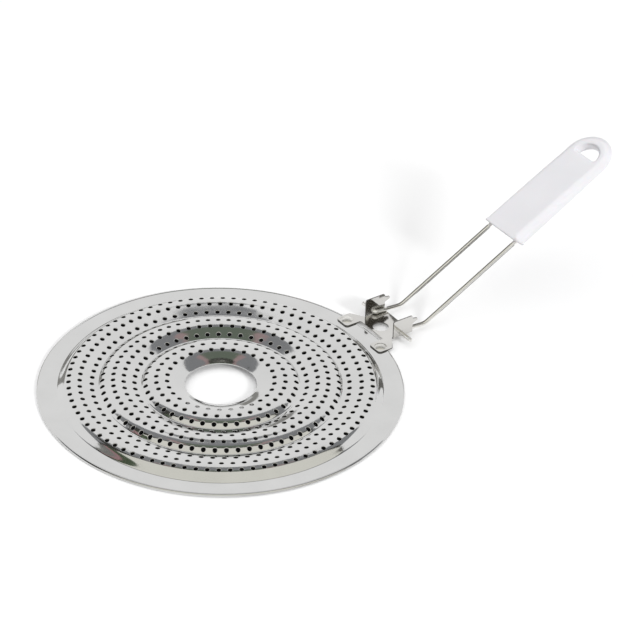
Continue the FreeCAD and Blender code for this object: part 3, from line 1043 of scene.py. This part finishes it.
def show_in_mirrors(piece, colour):
    """Gives a piece of the stage an even colour that only polished surfaces see."""
    made = Nodes(piece.name)
    made.set("Base Color", (0, 0, 0, 1))
    made.set("Specular IOR Level", 0.0)
    made.set("Emission Color", (*colour, 1))
    made.set("Emission Strength", 1.0)
    piece.data.materials.append(made.material)
    piece.visible_camera = False
    piece.visible_diffuse = False
    piece.visible_shadow = False
    piece.visible_transmission = False


def hang_card(name, colour, edges, height):
    """A card overhead, its edges given in shares of its height."""
    left, right, near, far = (edge * height for edge in edges)
    middle = seen_from((left + right) / 2, (near + far) / 2, height)
    card = flat_stage(name, (right - left, far - near), middle)
    card.rotation_euler = (math.pi, 0, -math.radians(HANDLE_TURN))
    show_in_mirrors(card, colour)


def add_shield(name, side, angles):
    """A bent strip beside the wire, from the arm to the mouth of the grip."""
    stations = (
        (PIVOT + rising(-ARM_DROP) * SHIELD_START, -ARM_DROP),
        (KNEE, (SHANK_RISE - ARM_DROP) / 2),
        (MOUTH, SHANK_RISE),
    )
    corners = []
    for middle, rise in stations:
        lead = rising(rise) * SHIELD_LEAD
        up = rising(rise + math.pi / 2)
        for angle in angles:
            turn = math.radians(angle)
            out = Vector((0, math.cos(turn), 0)) + up * math.sin(turn) + lead
            corners.append((middle + Vector((0, side * ARM_SIDE, 0)) + out * SHIELD_REACH) * MM)
    count = len(angles)
    faces = []
    for row in range(len(stations) - 1):
        for first in range(row * count, row * count + count - 1):
            faces.append((first, first + 1, first + 1 + count, first + count))
    show_in_mirrors(add_stage(name, corners, faces), SHIELD_COLOUR)


def add_lamp(name, strength, softness, place):
    """A distant soft lamp that shines from a place to the origin and has no mirror image."""
    light = bpy.data.lights.new(name, "SUN")
    light.energy = strength
    light.angle = math.radians(softness)
    lamp = bpy.data.objects.new(name, light)
    bpy.context.scene.collection.objects.link(lamp)
    lamp.location = place
    lamp.rotation_mode = "QUATERNION"
    lamp.rotation_quaternion = (-lamp.location).to_track_quat("-Z", "Y")
    lamp.visible_glossy = False


def make_world():
    """White surroundings, weaker as light than as the camera and mirror images see them."""
    world = bpy.data.worlds.new("studio")
    bpy.context.scene.world = world
    world.use_nodes = True
    sky = world.node_tree
    background = sky.nodes["Background"]
    background.inputs["Color"].default_value = (1, 1, 1, 1)
    ray = sky.nodes.new("ShaderNodeLightPath").outputs
    seen = sky.nodes.new("ShaderNodeMath")
    seen.operation = "MAXIMUM"
    sky.links.new(ray["Is Camera Ray"], seen.inputs[0])
    sky.links.new(ray["Is Glossy Ray"], seen.inputs[1])
    strength = sky.nodes.new("ShaderNodeMapRange")
    strength.inputs["To Min"].default_value = SKY_FILL
    strength.inputs["To Max"].default_value = 1.0
    sky.links.new(seen.outputs[0], strength.inputs["Value"])
    sky.links.new(strength.outputs["Result"], background.inputs["Strength"])


def make_camera():
    """The camera at the photograph's viewing angle."""
    camera = bpy.data.objects.new("camera", bpy.data.cameras.new("camera"))
    bpy.context.scene.collection.objects.link(camera)
    bpy.context.scene.camera = camera
    level = math.cos(CAMERA_HEIGHT)
    back_x, back_y = math.sin(CAMERA_TURN) * level, -math.cos(CAMERA_TURN) * level
    back = Vector((back_x, back_y, math.sin(CAMERA_HEIGHT)))
    camera.location = CAMERA_AIM + back * CAMERA_DISTANCE
    camera.rotation_mode = "QUATERNION"
    upright = (-back).to_track_quat("-Z", "Y")
    camera.rotation_quaternion = upright @ Quaternion((0, 0, 1), CAMERA_ROLL)
    camera.data.sensor_width = CAMERA_SENSOR
    camera.data.lens = CAMERA_LENS
    camera.data.clip_start = 0.05
    camera.data.clip_end = 50


ground = flat_stage("floor", (FLOOR_WIDTH, FLOOR_WIDTH), (0, 0, 0))
ground.data.materials.append(floor_material())
for step, (name, colour, *edges) in enumerate(CARDS):
    hang_card(name, colour, edges, CEILING - CARD_STEP * step)
for name, strength, softness, place in LAMPS:
    add_lamp(name, strength, softness, seen_from(*place))
for name, colour, size, place, turn in FLAGS:
    flag = flat_stage(name, size, place)
    flag.rotation_euler = (turn, 0, 0)
    show_in_mirrors(flag, colour)
for hand, side in (("left", 1), ("right", -1)):
    for name, angles in SHIELDS:
        add_shield(hand + "_" + name, side, angles)
make_world()
make_camera()

bpy.context.scene.view_settings.view_transform = "Standard"
